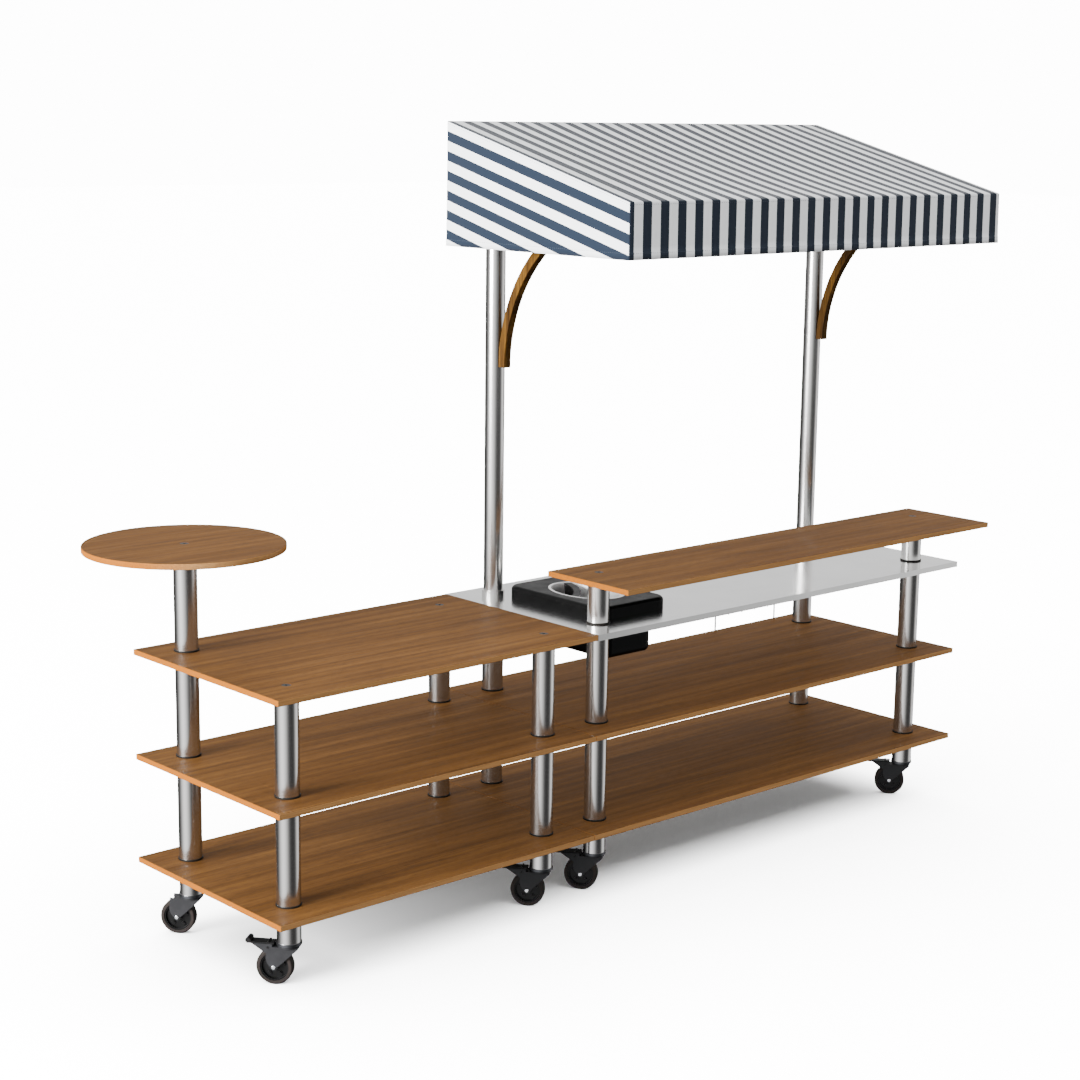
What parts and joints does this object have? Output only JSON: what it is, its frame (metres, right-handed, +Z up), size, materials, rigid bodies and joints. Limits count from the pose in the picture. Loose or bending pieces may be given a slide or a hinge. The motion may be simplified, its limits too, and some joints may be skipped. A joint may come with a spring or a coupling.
{
  "type": "push vending cart",
  "caption": "Two-unit vending cart on swivel casters: shelves, round table, steel counter with drop-in sink, service ledge and striped awning.",
  "frame": {"origin": "on the floor, under the middle of the cart's outline", "axes": "+X along the cart from the low side unit to the main unit, +Y from the customer's side to the vendor's side, +Z up"},
  "size_m": [3.2365, 1.08, 2.485],
  "materials": {
    "wood": "oiled hardwood",
    "bracket_wood": "dark oiled hardwood",
    "counter_steel": "polished stainless steel",
    "post_steel": "brushed stainless steel",
    "zinc_steel": "zinc-plated steel",
    "dark_steel": "blackened steel",
    "ring_rubber": "matte rubber",
    "sink_black": "satin black moulding",
    "bowl_steel": "satin stainless steel",
    "rack_wire": "dark coated wire",
    "frame_aluminium": "mill-finish aluminium",
    "awning_canvas": "navy and white striped canvas",
    "caster_black": "black coated steel",
    "axle_steel": "bright plated steel",
    "wheel_plastic": "black moulded plastic",
    "tyre_rubber": "dark grey-brown rubber",
    "pedal_plastic": "black moulded plastic"
  },
  "bodies": {
    "cart": {"side_bottom_shelf": "wood", "side_middle_shelf": "wood", "side_top_board": "wood", "round_table_top": "wood", "main_bottom_shelf": "wood", "main_middle_shelf": "wood", "service_ledge": "wood", "steel_counter": "counter_steel", "side_unit_posts": "post_steel", "main_unit_posts": "post_steel", "post_rings": "ring_rubber", "tie_rods": "zinc_steel", "cap_bolts": "dark_steel", "sink_housing": "sink_black", "sink_bowl": "bowl_steel", "sink_divider": "sink_black", "sink_drain": "bowl_steel", "wire_rack": "rack_wire", "awning_posts": "post_steel", "post_collars": "post_steel", "awning_brackets": "bracket_wood", "awning_frame": "frame_aluminium", "awning_cover": "awning_canvas", "caster_plates": "caster_black"},
    "side_front_left_swivel": {"side_front_left_fork": "caster_black", "side_front_left_axle": "axle_steel"},
    "side_front_left_rolling": {"side_front_left_wheel": "wheel_plastic", "side_front_left_tyre": "tyre_rubber"},
    "side_front_left_brake": {"side_front_left_pedal": "pedal_plastic"},
    "side_back_left_swivel": {"side_back_left_fork": "caster_black", "side_back_left_axle": "axle_steel"},
    "side_back_left_rolling": {"side_back_left_wheel": "wheel_plastic", "side_back_left_tyre": "tyre_rubber"},
    "side_front_right_swivel": {"side_front_right_fork": "caster_black", "side_front_right_axle": "axle_steel"},
    "side_front_right_rolling": {"side_front_right_wheel": "wheel_plastic", "side_front_right_tyre": "tyre_rubber"},
    "side_front_right_brake": {"side_front_right_pedal": "pedal_plastic"},
    "side_back_right_swivel": {"side_back_right_fork": "caster_black", "side_back_right_axle": "axle_steel"},
    "side_back_right_rolling": {"side_back_right_wheel": "wheel_plastic", "side_back_right_tyre": "tyre_rubber"},
    "main_front_left_swivel": {"main_front_left_fork": "caster_black", "main_front_left_axle": "axle_steel"},
    "main_front_left_rolling": {"main_front_left_wheel": "wheel_plastic", "main_front_left_tyre": "tyre_rubber"},
    "main_front_left_brake": {"main_front_left_pedal": "pedal_plastic"},
    "main_front_right_swivel": {"main_front_right_fork": "caster_black", "main_front_right_axle": "axle_steel"},
    "main_front_right_rolling": {"main_front_right_wheel": "wheel_plastic", "main_front_right_tyre": "tyre_rubber"},
    "main_front_right_brake": {"main_front_right_pedal": "pedal_plastic"},
    "main_back_left_swivel": {"main_back_left_fork": "caster_black", "main_back_left_axle": "axle_steel"},
    "main_back_left_rolling": {"main_back_left_wheel": "wheel_plastic", "main_back_left_tyre": "tyre_rubber"},
    "main_back_right_swivel": {"main_back_right_fork": "caster_black", "main_back_right_axle": "axle_steel"},
    "main_back_right_rolling": {"main_back_right_wheel": "wheel_plastic", "main_back_right_tyre": "tyre_rubber"}
  },
  "joints": [
    {"name": "side_front_left_swivel_turn", "type": "hinge", "parent": "cart", "child": "side_front_left_swivel", "pos_m": [-1.3133, -0.285, 0.1253], "axis": [0, 0, 1], "continuous": true},
    {"name": "side_front_left_wheel_spin", "type": "hinge", "parent": "side_front_left_swivel", "child": "side_front_left_rolling", "pos_m": [-1.33973, -0.25236, 0.055], "axis": [-0.7771, -0.6293, 0], "continuous": true},
    {"name": "side_front_left_brake_press", "type": "hinge", "parent": "side_front_left_swivel", "child": "side_front_left_brake", "pos_m": [-1.35106, -0.23837, 0.116], "axis": [-0.7771, -0.6293, 0], "range_deg": [0, 10]},
    {"name": "side_back_left_swivel_turn", "type": "hinge", "parent": "cart", "child": "side_back_left_swivel", "pos_m": [-1.3133, 0.235, 0.1253], "axis": [0, 0, 1], "continuous": true},
    {"name": "side_back_left_wheel_spin", "type": "hinge", "parent": "side_back_left_swivel", "child": "side_back_left_rolling", "pos_m": [-1.33973, 0.26764, 0.055], "axis": [-0.7771, -0.6293, 0], "continuous": true},
    {"name": "side_front_right_swivel_turn", "type": "hinge", "parent": "cart", "child": "side_front_right_swivel", "pos_m": [-0.3273, -0.285, 0.1253], "axis": [0, 0, 1], "continuous": true},
    {"name": "side_front_right_wheel_spin", "type": "hinge", "parent": "side_front_right_swivel", "child": "side_front_right_rolling", "pos_m": [-0.35373, -0.25236, 0.055], "axis": [-0.7771, -0.6293, 0], "continuous": true},
    {"name": "side_front_right_brake_press", "type": "hinge", "parent": "side_front_right_swivel", "child": "side_front_right_brake", "pos_m": [-0.36506, -0.23837, 0.116], "axis": [-0.7771, -0.6293, 0], "range_deg": [0, 10]},
    {"name": "side_back_right_swivel_turn", "type": "hinge", "parent": "cart", "child": "side_back_right_swivel", "pos_m": [-0.3273, 0.235, 0.1253], "axis": [0, 0, 1], "continuous": true},
    {"name": "side_back_right_wheel_spin", "type": "hinge", "parent": "side_back_right_swivel", "child": "side_back_right_rolling", "pos_m": [-0.35373, 0.26764, 0.055], "axis": [-0.7771, -0.6293, 0], "continuous": true},
    {"name": "main_front_left_swivel_turn", "type": "hinge", "parent": "cart", "child": "main_front_left_swivel", "pos_m": [-0.0927, -0.285, 0.1253], "axis": [0, 0, 1], "continuous": true},
    {"name": "main_front_left_wheel_spin", "type": "hinge", "parent": "main_front_left_swivel", "child": "main_front_left_rolling", "pos_m": [-0.11913, -0.25236, 0.055], "axis": [-0.7771, -0.6293, 0], "continuous": true},
    {"name": "main_front_left_brake_press", "type": "hinge", "parent": "main_front_left_swivel", "child": "main_front_left_brake", "pos_m": [-0.13046, -0.23837, 0.116], "axis": [-0.7771, -0.6293, 0], "range_deg": [0, 10]},
    {"name": "main_front_right_swivel_turn", "type": "hinge", "parent": "cart", "child": "main_front_right_swivel", "pos_m": [1.5013, -0.285, 0.1253], "axis": [0, 0, 1], "continuous": true},
    {"name": "main_front_right_wheel_spin", "type": "hinge", "parent": "main_front_right_swivel", "child": "main_front_right_rolling", "pos_m": [1.47487, -0.25236, 0.055], "axis": [-0.7771, -0.6293, 0], "continuous": true},
    {"name": "main_front_right_brake_press", "type": "hinge", "parent": "main_front_right_swivel", "child": "main_front_right_brake", "pos_m": [1.46354, -0.23837, 0.116], "axis": [-0.7771, -0.6293, 0], "range_deg": [0, 10]},
    {"name": "main_back_left_swivel_turn", "type": "hinge", "parent": "cart", "child": "main_back_left_swivel", "pos_m": [-0.0927, 0.235, 0.1253], "axis": [0, 0, 1], "continuous": true},
    {"name": "main_back_left_wheel_spin", "type": "hinge", "parent": "main_back_left_swivel", "child": "main_back_left_rolling", "pos_m": [-0.11913, 0.26764, 0.055], "axis": [-0.7771, -0.6293, 0], "continuous": true},
    {"name": "main_back_right_swivel_turn", "type": "hinge", "parent": "cart", "child": "main_back_right_swivel", "pos_m": [1.5013, 0.235, 0.1253], "axis": [0, 0, 1], "continuous": true},
    {"name": "main_back_right_wheel_spin", "type": "hinge", "parent": "main_back_right_swivel", "child": "main_back_right_rolling", "pos_m": [1.47487, 0.26764, 0.055], "axis": [-0.7771, -0.6293, 0], "continuous": true}
  ]
}
